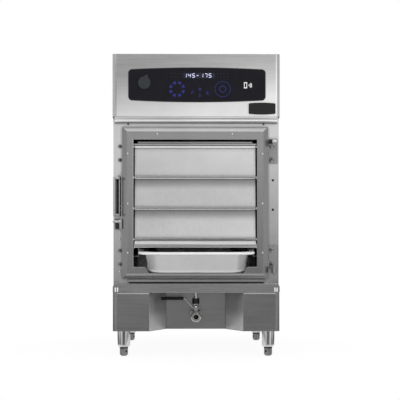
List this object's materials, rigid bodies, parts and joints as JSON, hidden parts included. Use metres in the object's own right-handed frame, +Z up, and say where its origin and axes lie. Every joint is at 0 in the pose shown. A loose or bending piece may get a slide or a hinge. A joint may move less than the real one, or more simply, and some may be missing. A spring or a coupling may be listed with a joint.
{
  "type": "holding bin cabinet",
  "caption": "Narrow stainless holding cabinet on legs with a digital control head, a latched door of top-hung flaps, a pulled-out food pan and a ball-valve drain.",
  "frame": {"origin": "centre of the bounding box's footprint, on the floor under the feet", "axes": "+Z up, -Y towards the front with the door, +X to the right as seen from the front"},
  "size_m": [0.478, 0.7601, 0.861],
  "materials": {
    "brushed_steel": "brushed",
    "plain_steel": "satin",
    "mineral_wool": "matt",
    "silicone_rubber": "matt",
    "panel_glass": "gloss",
    "display_window": "gloss",
    "black_plastic": "satin",
    "circuit_board": "satin",
    "cast_aluminium": "cast",
    "plated_brass": "nickel-plated"
  },
  "bodies": {
    "cabinet": {"base_skirt": "brushed_steel", "base_floor": "plain_steel", "base_deck": "plain_steel", "leg_front_left": "brushed_steel", "leg_front_right": "brushed_steel", "leg_rear_left": "brushed_steel", "leg_rear_right": "brushed_steel", "outer_shell": "brushed_steel", "rear_panel": "brushed_steel", "front_bezel": "brushed_steel", "cavity_liner": "brushed_steel", "insulation": "mineral_wool", "drip_ledge": "brushed_steel", "water_tank": "brushed_steel", "water_heater": "plain_steel", "air_heater": "plain_steel", "air_probe": "brushed_steel", "rack_left": "brushed_steel", "rack_right": "brushed_steel", "head_fascia": "brushed_steel", "head_cover": "brushed_steel", "head_rear": "brushed_steel", "head_lip": "brushed_steel", "control_panel": "panel_glass", "display_window": "display_window", "usb_socket": "black_plastic", "badge_plate": "black_plastic", "control_board": "circuit_board", "power_supply": "cast_aluminium", "power_inlet": "black_plastic", "hinge_bracket_upper": "brushed_steel", "hinge_bracket_lower": "brushed_steel", "latch_strike": "brushed_steel", "valve_body": "plated_brass", "drain_tube": "brushed_steel", "drain_nut": "plated_brass", "drain_elbow": "plated_brass"},
    "door": {"door_frame": "brushed_steel", "door_seal": "silicone_rubber", "flap_rod_1": "brushed_steel", "flap_rod_2": "brushed_steel", "flap_rod_3": "brushed_steel", "flap_rod_4": "brushed_steel", "hinge_arm_upper": "brushed_steel", "hinge_arm_lower": "brushed_steel", "latch_body": "black_plastic"},
    "latch_pull": {"latch_pull": "brushed_steel"},
    "flap_1": {"flap_1": "brushed_steel"},
    "flap_2": {"flap_2": "brushed_steel"},
    "flap_3": {"flap_3": "brushed_steel"},
    "flap_4": {"flap_4": "brushed_steel"},
    "pan": {"bin_pan": "brushed_steel"},
    "drain_lever": {"valve_ball": "brushed_steel", "valve_lever": "brushed_steel", "lever_sleeve": "black_plastic"},
    "usb_cap": {"usb_cap": "silicone_rubber"},
    "foot_front_left": {"foot_front_left": "plain_steel"},
    "foot_front_right": {"foot_front_right": "plain_steel"},
    "foot_rear_left": {"foot_rear_left": "plain_steel"},
    "foot_rear_right": {"foot_rear_right": "plain_steel"}
  },
  "joints": [
    {"name": "door_hinge", "type": "hinge", "parent": "cabinet", "child": "door", "pos_m": [0.222, -0.28993, 0.45], "axis": [0, 0, 1], "range_deg": [0, 110]},
    {"name": "latch_spring", "type": "hinge", "parent": "door", "child": "latch_pull", "pos_m": [-0.2185, -0.27743, 0.456], "axis": [0, 0, 1], "range_deg": [0, 25], "stiffness_Nm_per_rad": 0.15, "springref_deg": -11.46},
    {"name": "flap_1_hinge", "type": "hinge", "parent": "door", "child": "flap_1", "pos_m": [-0.003, -0.27893, 0.5987], "axis": [-1, 0, 0], "range_deg": [0, 80]},
    {"name": "flap_2_hinge", "type": "hinge", "parent": "door", "child": "flap_2", "pos_m": [-0.003, -0.27893, 0.5107], "axis": [-1, 0, 0], "range_deg": [0, 80]},
    {"name": "flap_3_hinge", "type": "hinge", "parent": "door", "child": "flap_3", "pos_m": [-0.003, -0.27893, 0.4227], "axis": [-1, 0, 0], "range_deg": [0, 80]},
    {"name": "flap_4_hinge", "type": "hinge", "parent": "door", "child": "flap_4", "pos_m": [-0.003, -0.27893, 0.3347], "axis": [-1, 0, 0], "range_deg": [-5, 15]},
    {"name": "pan_slide", "type": "slide", "parent": "cabinet", "child": "pan", "axis": [0, -0.9969, -0.0785], "range_m": [-0.118, 0.25]},
    {"name": "drain_valve", "type": "hinge", "parent": "cabinet", "child": "drain_lever", "pos_m": [0, -0.23993, 0.1117], "axis": [0, 0, 1], "range_deg": [0, 90]},
    {"name": "usb_cap_flex", "type": "hinge", "parent": "cabinet", "child": "usb_cap", "pos_m": [-0.1416, -0.29753, 0.8004], "axis": [-1, 0, 0], "range_deg": [0, 90]},
    {"name": "foot_front_left_screw", "type": "slide", "parent": "cabinet", "child": "foot_front_left", "axis": [0, 0, -1], "range_m": [0, 0.02]},
    {"name": "foot_front_right_screw", "type": "slide", "parent": "cabinet", "child": "foot_front_right", "axis": [0, 0, -1], "range_m": [0, 0.02]},
    {"name": "foot_rear_left_screw", "type": "slide", "parent": "cabinet", "child": "foot_rear_left", "axis": [0, 0, -1], "range_m": [0, 0.02]},
    {"name": "foot_rear_right_screw", "type": "slide", "parent": "cabinet", "child": "foot_rear_right", "axis": [0, 0, -1], "range_m": [0, 0.02]}
  ]
}
